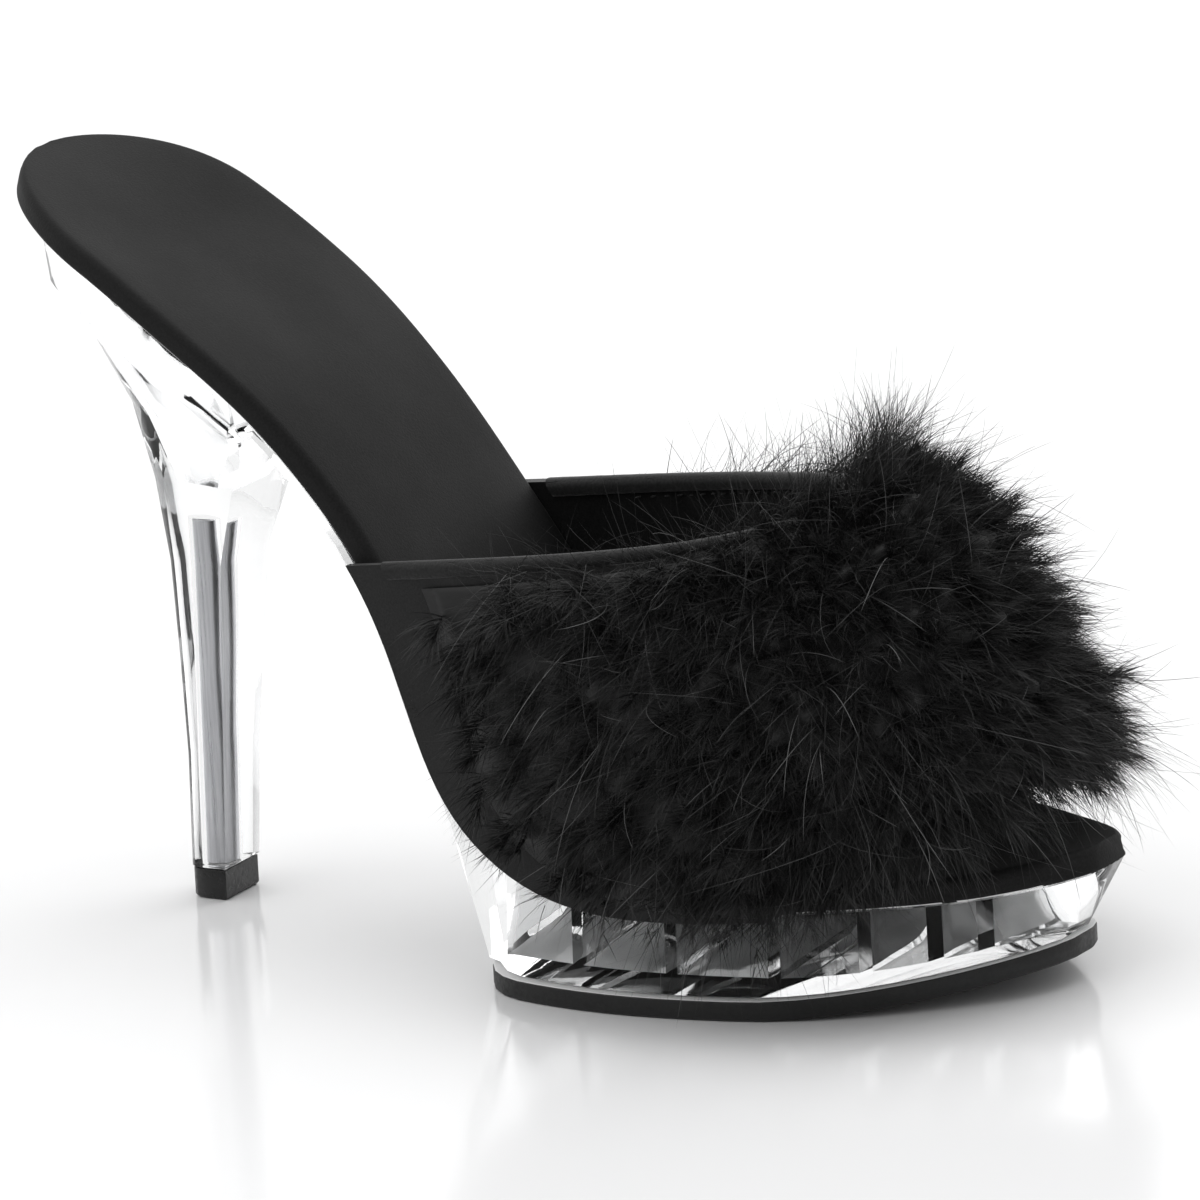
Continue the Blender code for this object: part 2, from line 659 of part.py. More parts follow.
def fur_reach(s, t, i, j, droop):
    """Depth of the bed, plus a lock on every second point."""
    side = abs(math.cos(math.pi * t))
    start = 0.45 + 0.55 * min(1.0, s / 0.30)
    longer = 1 + 0.16 * s**2 * (1 - side**2)
    depth = FUR_BED * start * (1 - 0.32 * side**2) * longer
    if (i + j) % 2:
        return depth
    return depth + LOCK_LENGTH * (0.6 + 0.4 * wave(i, j, 1)) * (1 - 0.10 * side**2) * longer * (1 - 0.25 * droop)


def fur_point(root, heading, reach, lock):
    """End of a lock or of the bed, kept clear of the floor and the outsole."""
    clear = LOCK_CLEAR if lock else BED_CLEAR
    if heading[2] < 0:
        reach = max(0.001, min(reach, (root[2] - clear) / -heading[2]))
    return root + heading * reach


fur_inner = []
fur_outer = []
fur_hang = []
for j, t in enumerate(np.linspace(FUR_ENDS, 1 - FUR_ENDS, FUR_COLS)):
    first = level(BINDING_WIDTH + 0.0016, t)
    roots = []
    ends = []
    for i, s in enumerate(np.linspace(first, 1.0, FUR_ROWS)):
        root = hoop_point(s, t) + outward(s, t) * (BAND_WALL + FUR_GAP)
        roots.append(root)
        ends.append(fur_point(root, fur_heading(s, t, 0.0), fur_reach(s, t, i, j, 0.0), (i + j) % 2 == 0))
    side = abs(math.cos(math.pi * t))
    plain = fur_heading(1.0, t, 0.0)
    under = []
    for k, angle in enumerate(HANG):
        turned = math.radians(angle) * (1 - 0.75 * side)
        across = np.cross(plain, DOWN)
        across = across / np.linalg.norm(across)
        heading = plain * math.cos(turned) + np.cross(across, plain) * math.sin(turned)
        reach = fur_reach(1.0, t, FUR_ROWS + k, j, (k + 1) / len(HANG)) * (1 - 0.10 * (k + 1))
        under.append(fur_point(roots[-1], heading, reach, (FUR_ROWS + k + j) % 2 == 0))
    fur_inner.append(roots)
    fur_outer.append(ends)
    fur_hang.append(under)

bm = bmesh.new()
a = [[bm.verts.new(tuple(p)) for p in col] for col in fur_inner]
b = [[bm.verts.new(tuple(p)) for p in col + hang] for col, hang in zip(fur_outer, fur_hang)]
for j in range(FUR_COLS - 1):
    for i in range(FUR_ROWS - 1):
        bm.faces.new((a[j][i], a[j][i + 1], a[j + 1][i + 1], a[j + 1][i]))
    for i in range(FUR_ROWS + len(HANG) - 1):
        corners = (b[j][i], b[j + 1][i], b[j + 1][i + 1], b[j][i + 1])
        if (i + j) % 2:
            bm.faces.new((corners[0], corners[1], corners[2]))
            bm.faces.new((corners[0], corners[2], corners[3]))
        else:
            bm.faces.new((corners[0], corners[1], corners[3]))
            bm.faces.new((corners[1], corners[2], corners[3]))
    bm.faces.new((a[j][0], a[j + 1][0], b[j + 1][0], b[j][0]))
    bm.faces.new((a[j][-1], b[j][-1], b[j + 1][-1], a[j + 1][-1]))
for j in (0, FUR_COLS - 1):
    for i in range(FUR_ROWS - 1):
        bm.faces.new((a[j][i], b[j][i], b[j][i + 1], a[j][i + 1]))
    for i in range(FUR_ROWS - 1, FUR_ROWS + len(HANG) - 1):
        bm.faces.new((a[j][-1], b[j][i], b[j][i + 1]))
add_object("marabou", bm, (0.01, 0.01, 0.01), 0.9)

for obj in bpy.data.objects:
    obj.data.calc_loop_triangles()
    print(obj.name, "triangles", len(obj.data.loop_triangles))
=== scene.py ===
# %% [markdown]
# # A black marabou slipper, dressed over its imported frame
#
# The frame gives the plain solids of the shoe: insole, outsole, clear platform, clear heel, steel
# dowel, heel tip, the hooped band and the feather trim. This lesson dresses them, one piece at a
# time. The toe points along +X, the floor is z = 0 and all lengths are metres.

# %% load the frame
import math

import bmesh
import bpy
import numpy as np
from mathutils import Matrix, Vector


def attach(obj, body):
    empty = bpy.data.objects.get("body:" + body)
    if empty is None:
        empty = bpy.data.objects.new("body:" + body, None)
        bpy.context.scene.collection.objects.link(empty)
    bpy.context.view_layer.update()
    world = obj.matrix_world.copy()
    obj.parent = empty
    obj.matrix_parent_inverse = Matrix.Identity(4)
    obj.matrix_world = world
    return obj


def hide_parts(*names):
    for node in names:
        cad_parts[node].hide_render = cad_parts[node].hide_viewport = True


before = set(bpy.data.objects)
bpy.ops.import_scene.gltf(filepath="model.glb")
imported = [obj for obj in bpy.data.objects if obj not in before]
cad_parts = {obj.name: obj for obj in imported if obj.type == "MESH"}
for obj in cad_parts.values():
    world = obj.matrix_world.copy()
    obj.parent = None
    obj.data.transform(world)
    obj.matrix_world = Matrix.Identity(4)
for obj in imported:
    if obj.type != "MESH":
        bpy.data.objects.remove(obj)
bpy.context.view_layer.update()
MM = 0.001
print("nodes:", sorted(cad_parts))

# %% [markdown]
# ## Camera
#
# A product photo like this is taken from far away with a long lens, so the shoe hardly tapers.
# The camera looks at the shoe's inner side from ahead of its middle, a little above the floor,
# and is rolled slightly. It comes first, because every later choice is judged through it.

# %% camera
AZIMUTH = 30.45
ELEVATION = 15.38
ROLL = -3.25
DISTANCE = 2.9337
FOCAL_WIDTHS = 14.9377      # focal length as a multiple of the picture's width
AIM = Vector((-0.0248, -0.0011, 0.0577))


def aim_camera(camera):
    """Place the camera from its two angles, its roll and its distance."""
    azimuth, elevation, roll = (math.radians(a) for a in (AZIMUTH, ELEVATION, ROLL))
    back = Vector((
        math.sin(azimuth) * math.cos(elevation),
        -math.cos(azimuth) * math.cos(elevation),
        math.sin(elevation),
    ))
    level_right = Vector((math.cos(azimuth), math.sin(azimuth), 0))
    level_up = back.cross(level_right)
    right = level_right * math.cos(roll) + level_up * math.sin(roll)
    up = level_up * math.cos(roll) - level_right * math.sin(roll)
    place = Matrix((right, up, back)).transposed().to_4x4()
    place.translation = AIM + back * DISTANCE
    camera.matrix_world = place


camera_data = bpy.data.cameras.new("camera")
camera_data.sensor_width = 36
camera_data.lens = FOCAL_WIDTHS * camera_data.sensor_width
camera_data.clip_end = 50
camera = bpy.data.objects.new("camera", camera_data)
bpy.context.scene.collection.objects.link(camera)
aim_camera(camera)
bpy.context.scene.camera = camera
print("camera at", [round(v, 3) for v in camera.location])

# %% [markdown]
# ## The last
#
# A shoe is built round a last. Its middle line falls from the heel seat, runs steeply down the
# waist and lies flat under the ball. The rows below hold the share of the length, the slope, the
# half width and the sideways place, the last two as shares of the ball's half width.

# %% the last's middle line and outline
LAST_LENGTH = 0.2426
SEAT_HEIGHT = 0.1263
BALL_HEIGHT = 0.0204
BALL_HALF = 0.0364
REAR_X = -0.1289
INSOLE_THICKNESS = 0.0042
WAIST_LIFT = 0.0021
HEEL_ROUND = 0.027
TOE_ROUND = 0.036
TOE_SQUARE = 2.3
LAST = np.array([
    (0.00, 14.0, 0.680, 0.065),
    (0.10, 29.5, 0.735, 0.045),
    (0.20, 38.0, 0.755, 0.015),
    (0.30, 51.0, 0.712, 0.025),
    (0.40, 59.0, 0.705, 0.045),
    (0.50, 62.0, 0.802, 0.060),
    (0.60, 34.5, 0.952, 0.015),
    (0.70, 3.5, 1.000, -0.020),
    (0.80, -4.0, 0.905, -0.020),
    (0.90, -2.0, 0.690, 0.005),
    (1.00, -12.0, 0.440, 0.040),
])


def smooth(xs, ys, x):
    """Smooth curve through the rows of a table."""
    x = np.clip(np.asarray(x, float), xs[0], xs[-1])
    slopes = np.gradient(ys, xs)
    i = np.clip(np.searchsorted(xs, x, side="right") - 1, 0, len(xs) - 2)
    step = xs[i + 1] - xs[i]
    t = (x - xs[i]) / step
    rise = 3 * t**2 - 2 * t**3
    return (ys[i] * (1 - rise) + ys[i + 1] * rise
            + step * (slopes[i] * (t**3 - 2 * t**2 + t) + slopes[i + 1] * (t**3 - t**2)))


LINE_STEPS = 800
fine = np.linspace(0, 1, LINE_STEPS + 1)
fine_slope = np.radians(smooth(LAST[:, 0], LAST[:, 1], fine))
step_length = LAST_LENGTH / LINE_STEPS


def running_sum(values):
    """Length gathered along the line so far."""
    return step_length * np.concatenate([[0], np.cumsum(0.5 * (values[1:] + values[:-1]))])


fine_x = REAR_X + running_sum(np.cos(fine_slope))
drop = running_sum(np.sin(fine_slope))
fine_z = SEAT_HEIGHT - drop * (SEAT_HEIGHT - BALL_HEIGHT) / float(np.interp(0.72, fine, drop))


def spine(u, depth=0.0):
    """x and z of the insole's middle line at share u, sunk by depth square to it."""
    slope = np.interp(u, fine, fine_slope)
    lift = WAIST_LIFT * np.exp(-((np.asarray(u) - 0.42) / 0.17) ** 2) - depth
    return (np.interp(u, fine, fine_x) + np.sin(slope) * lift,
            np.interp(u, fine, fine_z) + np.cos(slope) * lift)


def plain_half(u):
    """Half width before the ends are rounded."""
    return smooth(LAST[:, 0], LAST[:, 2] * BALL_HALF, u)


def half_width(u):
    """Half width of the insole with its rounded ends."""
    along = np.asarray(u) * LAST_LENGTH
    back = np.sqrt(np.clip(1 - (1 - np.minimum(along / HEEL_ROUND, 1)) ** 2, 0, 1))
    tip = 1 - np.minimum((LAST_LENGTH - along) / TOE_ROUND, 1)
    return plain_half(u) * back * np.clip(1 - tip**TOE_SQUARE, 0, 1) ** (1 / TOE_SQUARE)


def centre(u):
    """Sideways place of the insole's middle."""
    return smooth(LAST[:, 0], LAST[:, 3] * BALL_HALF, u)


print("toe at x =", round(float(spine(1.0)[0]), 4))

# %% [markdown]
# ## Shared finishes
#
# Cloth, rubber and down all need a little unevenness in colour and gloss. One node group gives
# it, so that each material only says how large and how strong its own grain is.

# %% grain group
def new_group(name, inputs, outputs):
    """Empty shader node group with named sockets."""
    group = bpy.data.node_groups.new(name, "ShaderNodeTree")
    for label, kind, value in inputs:
        socket = group.interface.new_socket(label, in_out="INPUT", socket_type=kind)
        socket.default_value = value
    for label, kind in outputs:
        group.interface.new_socket(label, in_out="OUTPUT", socket_type=kind)
    return group, group.nodes.new("NodeGroupInput"), group.nodes.new("NodeGroupOutput")


def make_grain():
    """Fine and broad unevenness from Object coordinates, and a normal from the fine part."""
    group, given, result = new_group(
        "grain",
        [("Fine Scale", "NodeSocketFloat", 900.0), ("Broad Scale", "NodeSocketFloat", 40.0),
         ("Bump", "NodeSocketFloat", 0.2), ("Depth", "NodeSocketFloat", 0.0002)],
        [("Fine", "NodeSocketFloat"), ("Broad", "NodeSocketFloat"), ("Normal", "NodeSocketVector")],
    )
    links = group.links
    place = group.nodes.new("ShaderNodeTexCoord")
    fine_noise = group.nodes.new("ShaderNodeTexNoise")
    fine_noise.inputs["Detail"].default_value = 3
    broad_noise = group.nodes.new("ShaderNodeTexNoise")
    broad_noise.inputs["Detail"].default_value = 4
    bump = group.nodes.new("ShaderNodeBump")
    for noise, scale in ((fine_noise, "Fine Scale"), (broad_noise, "Broad Scale")):
        links.new(place.outputs["Object"], noise.inputs["Vector"])
        links.new(given.outputs[scale], noise.inputs["Scale"])
    links.new(fine_noise.outputs["Fac"], bump.inputs["Height"])
    links.new(given.outputs["Bump"], bump.inputs["Strength"])
    links.new(given.outputs["Depth"], bump.inputs["Distance"])
    links.new(fine_noise.outputs["Fac"], result.inputs["Fine"])
    links.new(broad_noise.outputs["Fac"], result.inputs["Broad"])
    links.new(bump.outputs["Normal"], result.inputs["Normal"])
    return group


grain_group = make_grain()


def new_material(name, **plain):
    """Principled material with constants set straight on its sockets."""
    material = bpy.data.materials.new(name)
    material.use_nodes = True
    shader = material.node_tree.nodes["Principled BSDF"]
    for label, value in plain.items():
        shader.inputs[label.replace("_", " ")].default_value = value
    return material, material.node_tree, shader


def add_grain(tree, shader, fine_scale, broad_scale, bump, depth):
    """Place the grain group in a material and give its normal to the shader."""
    grain = tree.nodes.new("ShaderNodeGroup")
    grain.node_tree = grain_group
    grain.inputs["Fine Scale"].default_value = fine_scale
    grain.inputs["Broad Scale"].default_value = broad_scale
    grain.inputs["Bump"].default_value = bump
    grain.inputs["Depth"].default_value = depth
    tree.links.new(grain.outputs["Normal"], shader.inputs["Normal"])
    return grain


def ramp_from(tree, source, stops):
    """Colour ramp fed by a value."""
    ramp = tree.nodes.new("ShaderNodeValToRGB")
    while len(ramp.color_ramp.elements) < len(stops):
        ramp.color_ramp.elements.new(0.5)
    for element, (place, colour) in zip(ramp.color_ramp.elements, stops):
        element.position = place
        element.color = (*colour, 1)
    tree.links.new(source, ramp.inputs["Fac"])
    return ramp


def range_from(tree, source, low, high):
    """Spread a 0 to 1 value between two numbers."""
    spread = tree.nodes.new("ShaderNodeMapRange")
    spread.inputs["From Min"].default_value = 0.3
    spread.inputs["From Max"].default_value = 0.7
    spread.inputs["To Min"].default_value = low
    spread.inputs["To Max"].default_value = high
    tree.links.new(source, spread.inputs["Value"])
    return spread


print("finishes share", grain_group.name)

# %% materials of the shoe
def cloth(name, dark, light, fine_scale, bump, rough, sheen):
    """Black cloth: grain in the colour, an uneven gloss and a soft sheen."""
    material, tree, shader = new_material(
        name, Sheen_Weight=sheen, Sheen_Roughness=0.45, Specular_IOR_Level=0.22)
    grain = add_grain(tree, shader, fine_scale, 30.0, bump, 0.0002)
    ramp = ramp_from(tree, grain.outputs["Fine"], [(0.34, (dark,) * 3), (0.72, (light,) * 3)])
    tree.links.new(ramp.outputs["Color"], shader.inputs["Base Color"])
    spread = range_from(tree, grain.outputs["Broad"], rough - 0.08, rough + 0.08)
    tree.links.new(spread.outputs["Result"], shader.inputs["Roughness"])
    return material


sock_cloth = cloth("sock_microfabric", 0.002, 0.007, 2600.0, 0.35, 0.66, 0.03)
band_satin = cloth("band_satin", 0.004, 0.012, 3000.0, 0.25, 0.42, 0.15)
thread = cloth("thread", 0.010, 0.030, 4000.0, 0.3, 0.5, 0.3)


def rubber(name, dark, light, rough):
    """Moulded black rubber with a fine leathery grain."""
    material, tree, shader = new_material(name, Specular_IOR_Level=0.4)
    grain = add_grain(tree, shader, 1300.0, 60.0, 0.3, 0.0002)
    ramp = ramp_from(tree, grain.outputs["Broad"], [(0.3, (dark,) * 3), (0.7, (light,) * 3)])
    tree.links.new(ramp.outputs["Color"], shader.inputs["Base Color"])
    spread = range_from(tree, grain.outputs["Fine"], rough - 0.1, rough + 0.1)
    tree.links.new(spread.outputs["Result"], shader.inputs["Roughness"])
    return material


sole_rubber = rubber("sole_rubber", 0.006, 0.012, 0.5)
tip_rubber = rubber("tip_rubber", 0.005, 0.009, 0.32)


def pale_face(name, tone, rough):
    """Pale face seen only through the clear plastic: the insole's board, and the outsole's top painted
    pale as painted light through the plastic.
    """
    material, tree, shader = new_material(name, Specular_IOR_Level=0.3)
    grain = add_grain(tree, shader, 700.0, 50.0, 0.1, 0.0001)
    ramp = ramp_from(tree, grain.outputs["Broad"], [(0.3, (tone * 0.94,) * 3), (0.7, (tone,) * 3)])
    tree.links.new(ramp.outputs["Color"], shader.inputs["Base Color"])
    shader.inputs["Roughness"].default_value = rough
    return material


pale_board = pale_face("pale_board", 0.82, 0.6)
# Pale face on the outsole's top: painted light that keeps the clear platform bright.
painted_light_face = pale_face("painted_light_face", 0.86, 0.35)


def clear_plastic():
    """Polished clear plastic: its index is set low, so that the pockets stay bright."""
    material, tree, shader = new_material(
        "clear_plastic", Base_Color=(0.985, 0.99, 0.992, 1), Transmission_Weight=1.0, IOR=1.25)
    grain = add_grain(tree, shader, 90.0, 25.0, 0.06, 0.0006)
    spread = range_from(tree, grain.outputs["Broad"], 0.0, 0.05)
    tree.links.new(spread.outputs["Result"], shader.inputs["Roughness"])
    return material


clear = clear_plastic()


def drawn_steel():
    """Steel tube with fine marks that run along it."""
    material, tree, shader = new_material("drawn_steel", Metallic=1.0)
    place = tree.nodes.new("ShaderNodeTexCoord")
    stretch = tree.nodes.new("ShaderNodeMapping")
    stretch.inputs["Scale"].default_value = (1800, 1800, 60)
    marks = tree.nodes.new("ShaderNodeTexNoise")
    marks.inputs["Scale"].default_value = 1.0
    tree.links.new(place.outputs["Object"], stretch.inputs["Vector"])
    tree.links.new(stretch.outputs["Vector"], marks.inputs["Vector"])
    ramp = ramp_from(tree, marks.outputs["Fac"], [(0.3, (0.42, 0.42, 0.44)), (0.7, (0.66, 0.66, 0.68))])
    tree.links.new(ramp.outputs["Color"], shader.inputs["Base Color"])
    spread = range_from(tree, marks.outputs["Fac"], 0.25, 0.42)
    tree.links.new(spread.outputs["Result"], shader.inputs["Roughness"])
    return material


steel = drawn_steel()


def down_material(name, low, high, rough):
    """Feather barb: dark keratin whose depth of black comes from the piece's own tone; the strands'
    paler range paints highlights.
    """
    material, tree, shader = new_material(name, Specular_IOR_Level=0.35)
    tone = tree.nodes.new("ShaderNodeAttribute")
    tone.attribute_name = "tone"
    ramp = ramp_from(tree, tone.outputs["Fac"], [(0.0, (low,) * 3), (1.0, (high,) * 3)])
    tree.links.new(ramp.outputs["Color"], shader.inputs["Base Color"])
    spread = range_from(tree, tone.outputs["Fac"], rough - 0.06, rough + 0.06)
    tree.links.new(spread.outputs["Result"], shader.inputs["Roughness"])
    return material


down = down_material("down", 0.006, 0.036, 0.58)
# Paler grey for loose quills and stray hairs: painted highlights on black strands.
highlight_strands = down_material("highlight_strands", 0.02, 0.13, 0.5)
print("materials:", len(bpy.data.materials))

# %% helpers for pieces
def finish_piece(name, bm, material, replaced=(), angle=40):
    """Turn a finished bmesh into a piece that rides on the shoe."""
    mesh = bpy.data.meshes.new(name)
    bm.to_mesh(mesh)
    bm.free()
    mesh.shade_smooth()
    mesh.set_sharp_from_angle(angle=math.radians(angle))
    mesh.materials.append(material)
    piece = bpy.data.objects.new(name, mesh)
    bpy.context.scene.collection.objects.link(piece)
    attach(piece, "root")
    if replaced:
        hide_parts(*replaced)
    return piece


def triangles(piece):
    """Triangles of a piece as it is shown."""
    shown = piece.evaluated_get(bpy.context.evaluated_depsgraph_get()).to_mesh()
    shown.calc_loop_triangles()
    return len(shown.loop_triangles)


def softened_copy(node, name, material, width, segments=2):
    """Merged copy of a solid with its sharp edges rounded."""
    bm = bmesh.new()
    bm.from_mesh(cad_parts[node].data)
    bmesh.ops.remove_doubles(bm, verts=bm.verts[:], dist=0.00002)
    bmesh.ops.dissolve_degenerate(bm, edges=bm.edges[:], dist=0.00001)
    piece = finish_piece(name, bm, material, replaced=(node,))
    bevel = piece.modifiers.new("bevel", "BEVEL")
    bevel.width = width
    bevel.segments = segments
    bevel.limit_method = "ANGLE"
    bevel.angle_limit = math.radians(42)
    bevel.harden_normals = False
    bevel.use_clamp_overlap = True
    return piece

# %% [markdown]
# ## Clear heel and platform
#
# The heel and the forefoot unit are moulded in clear plastic. Their solids already have the
# pockets, the cup and the bore, so each piece is a copy of its solid with its edges eased, which
# is what lets the plastic catch thin lines of light. The outsole's top is painted pale, as painted
# light seen through the clear plastic, because black rubber right under it would turn all of it dark.

# %% clear pieces and the steel dowel
heel_piece = softened_copy("heel", "clear_heel", clear, 0.0005)
platform_piece = softened_copy("platform", "clear_platform", clear, 0.0004)
dowel_piece = softened_copy("heel_dowel", "dowel_tube", steel, 0.0001)
tip_piece = softened_copy("heel_tip", "heel_top_piece", tip_rubber, 0.0004)
sole_piece = softened_copy("outsole", "rubber_outsole", sole_rubber, 0.0003)
# The outsole's upward faces take the pale face, which paints the light seen through the clear platform.
sole_piece.data.materials.append(painted_light_face)
for face in sole_piece.data.polygons:
    if face.normal.z > 0.9:
        face.material_index = 1
for piece in (heel_piece, platform_piece, dowel_piece, tip_piece, sole_piece):
    print(piece.name, triangles(piece), "triangles")

# %% [markdown]
# ## Padded insole
#
# The footbed is a thin board with a little foam, wrapped in black microfabric. The cover turns
# over a soft edge and is pulled round under the board, and at the toe it gathers in small folds.
# A grid is wrapped round the board's section, so one function places every point.

# %% insole
EDGE_ROUND = 0.0017
UNDER_ROUND = 0.0007
SEAT_CUP = 0.0012
FOLD_DEPTH = 0.00028
INSOLE_STEPS = 190


def toe_folds(u, side, depth):
    """Small gathers of the cover where it is pulled round the toe."""
    around = side * 46 + u * 90
    strength = np.clip((u - 0.70) / 0.2, 0, 1) * math.exp(-((depth - 0.0026) / 0.0016) ** 2)
    return FOLD_DEPTH * strength * (math.sin(around) + 0.6 * math.sin(2.3 * around + 1.0))


def ring_offsets(half):
    """Closed list of offsets and depths round the section: top, near corner, side, underneath."""
    edge = min(EDGE_ROUND, 0.5 * half)
    under = min(UNDER_ROUND, 0.3 * half)
    turns = np.linspace(0, 0.5 * math.pi, 6)
    right = [(half - edge + edge * math.sin(a), edge * (1 - math.cos(a))) for a in turns]
    right += [(half, edge + (INSOLE_THICKNESS - edge - under) * w) for w in (0.35, 0.7)]
    for a in turns[::2]:
        right.append((half - under * (1 - math.cos(a)), INSOLE_THICKNESS - under * (1 - math.sin(a))))
    top = [((half - edge) * w, 0.0) for w in np.linspace(-1, 1, 17)[1:-1]]
    low = [((half - under) * w, INSOLE_THICKNESS) for w in np.linspace(1, -1, 9)[1:-1]]
    left = [(-x, d) for x, d in right[::-1]]
    return top + right + low + left


def insole_point(u, offset, depth, half):
    """Point of the cover for a share of length and a place on the section."""
    share = offset / max(half, 1e-6)
    cup = SEAT_CUP * math.exp(-((u - 0.12) / 0.10) ** 2) * (1 - share**2) if depth < 0.0001 else 0.0
    x, z = spine(u, depth + cup)
    wall = 1.0 if abs(share) > 0.6 or u > 0.97 else 0.0
    fold = toe_folds(u, share, depth) * wall
    outward_x = np.clip((u - 0.86) / 0.14, 0, 1)
    y = float(centre(u)) + offset + fold * math.copysign(1.0, offset) * (1 - outward_x)
    return Vector((float(x) + fold * outward_x, y, float(z)))


shares = 0.5 - 0.5 * np.cos(np.pi * np.linspace(0, 1, INSOLE_STEPS + 1))
shares = 0.0012 + 0.9958 * (0.45 * shares + 0.55 * np.linspace(0, 1, INSOLE_STEPS + 1))
ring_size = len(ring_offsets(0.02))
bm = bmesh.new()
bmesh.ops.create_grid(bm, x_segments=INSOLE_STEPS, y_segments=ring_size, size=1.0)
halves = [float(half_width(u)) for u in shares]
rings = [ring_offsets(half) for half in halves]
for vert in bm.verts:
    i = int(round((vert.co.x + 1) / 2 * INSOLE_STEPS))
    j = int(round((vert.co.y + 1) / 2 * ring_size)) % ring_size
    offset, depth = rings[i][j]
    vert.co = insole_point(float(shares[i]), offset, depth, halves[i])
bmesh.ops.remove_doubles(bm, verts=bm.verts[:], dist=0.000002)
bmesh.ops.holes_fill(bm, edges=[e for e in bm.edges if e.is_boundary], sides=0)
bmesh.ops.recalc_face_normals(bm, faces=bm.faces[:])
insole_piece = finish_piece("covered_insole", bm, sock_cloth, replaced=("insole",), angle=60)
insole_piece.data.materials.append(pale_board)
for face in insole_piece.data.polygons:
    if face.normal.z < -0.6 and abs(face.center.y) < 0.85 * BALL_HALF and len(face.vertices) == 4:
        face.material_index = 1
print("insole", triangles(insole_piece), "triangles, ring of", ring_size)

# %% [markdown]
# ## The band
#
# The upper is one hoop of satin over the forefoot. Each row starts beside the insole, rises over
# the foot and comes down on the far side. The rows below say where a hoop starts along the
# insole, where its crown is, and how square it is.

# %% hoops of the band
BAND = np.array([
    (0.395, 0.0200, 0.0765, 3.6),
    (0.480, 0.0270, 0.0735, 3.3),
    (0.565, 0.0340, 0.0668, 3.0),
    (0.650, 0.0405, 0.0585, 2.7),
    (0.735, 0.0465, 0.0495, 2.5),
    (0.815, 0.0520, 0.0410, 2.3),
])
BAND_WALL = 0.0016
BAND_SIDE_GAP = 0.0007
band_share = (BAND[:, 0] - BAND[0, 0]) / (BAND[-1, 0] - BAND[0, 0])


def hoop(s, t):
    """Inner face of the band: s from collar to toe edge, t over the foot from near to far."""
    s = np.asarray(s, float)
    t = np.asarray(t, float)
    u = smooth(band_share, BAND[:, 0], s)
    foot_x, foot_z = spine(u, INSOLE_THICKNESS)
    rise = np.abs(np.sin(np.pi * t)) ** (2 / smooth(band_share, BAND[:, 3], s))
    x = foot_x + (smooth(band_share, BAND[:, 1], s) - foot_x) * rise
    y = centre(u) - np.cos(np.pi * t) * (half_width(u) + BAND_SIDE_GAP)
    z = foot_z + (smooth(band_share, BAND[:, 2], s) - foot_z) * rise
    return np.stack(np.broadcast_arrays(x, y, z), axis=-1)


def hoop_outward(s, t):
    """Unit directions away from the foot."""
    e = 0.002
    s = np.asarray(s, float)
    t = np.clip(np.asarray(t, float), 0.012, 0.988)
    along = hoop(np.minimum(s + e, 1), t) - hoop(np.maximum(s - e, 0), t)
    across = hoop(s, t + e) - hoop(s, t - e)
    n = np.cross(across, along)
    n = n / np.linalg.norm(n, axis=-1, keepdims=True)
    u = smooth(band_share, BAND[:, 0], s)
    x, z = spine(u)
    core = np.stack(np.broadcast_arrays(x + 0.018, centre(u), z + 0.010), axis=-1)
    sign = np.sign(np.sum(n * (hoop(s, t) - core), axis=-1, keepdims=True))
    return n * sign


def hoop_length(t):
    """Length of the band from collar to toe edge at t."""
    points = hoop(np.linspace(0, 1, 25), np.full(25, t))
    return float(np.sum(np.linalg.norm(np.diff(points, axis=0), axis=1)))


def wrapped_grid(columns, ring, places):
    """Grid wrapped into a closed skin: columns along t, ring round the section."""
    bm = bmesh.new()
    bmesh.ops.create_grid(bm, x_segments=columns, y_segments=ring, size=1.0)
    for vert in bm.verts:
        i = int(round((vert.co.x + 1) / 2 * columns))
        j = int(round((vert.co.y + 1) / 2 * ring)) % ring
        vert.co = places[i, j]
    bmesh.ops.remove_doubles(bm, verts=bm.verts[:], dist=0.000002)
    bmesh.ops.holes_fill(bm, edges=[e for e in bm.edges if e.is_boundary], sides=0)
    bmesh.ops.recalc_face_normals(bm, faces=bm.faces[:])
    return bm


print("band is", round(hoop_length(0.5) / MM, 1), "mm long at its crown")

# %% satin band
BAND_COLUMNS = 170
BAND_ROWS = 40
GATHER_DEPTH = 0.00022
GATHER_WIDTH = 0.010
SLACK_DEPTH = 0.0003


def band_grid():
    """Points of the satin: out along the outer face, back along the inner face."""
    ring = np.arange(2 * BAND_ROWS)[None, :]
    inside = ring >= BAND_ROWS
    row = np.where(inside, 2 * BAND_ROWS - 1 - ring, ring)
    t = np.arange(BAND_COLUMNS + 1)[:, None] / BAND_COLUMNS
    lengths = np.array([hoop_length(v) for v in t[:, 0]])[:, None]
    s, t = np.broadcast_arrays(row / (BAND_ROWS - 1), t)
    gather = GATHER_DEPTH * np.exp(-((s * lengths / GATHER_WIDTH) ** 2)) * np.sin(2 * np.pi * 46 * t)
    slack = SLACK_DEPTH * np.sin(9 * t + 5 * s) * np.sin(np.pi * s) * np.sin(np.pi * t)
    lift = np.where(inside, 0.0, BAND_WALL) + gather + slack
    return hoop(s, t) + hoop_outward(s, t) * lift[..., None]


bm = wrapped_grid(BAND_COLUMNS, 2 * BAND_ROWS, band_grid())
band_piece = finish_piece("satin_band", bm, band_satin, replaced=("upper",), angle=50)
print("band", triangles(band_piece), "triangles")

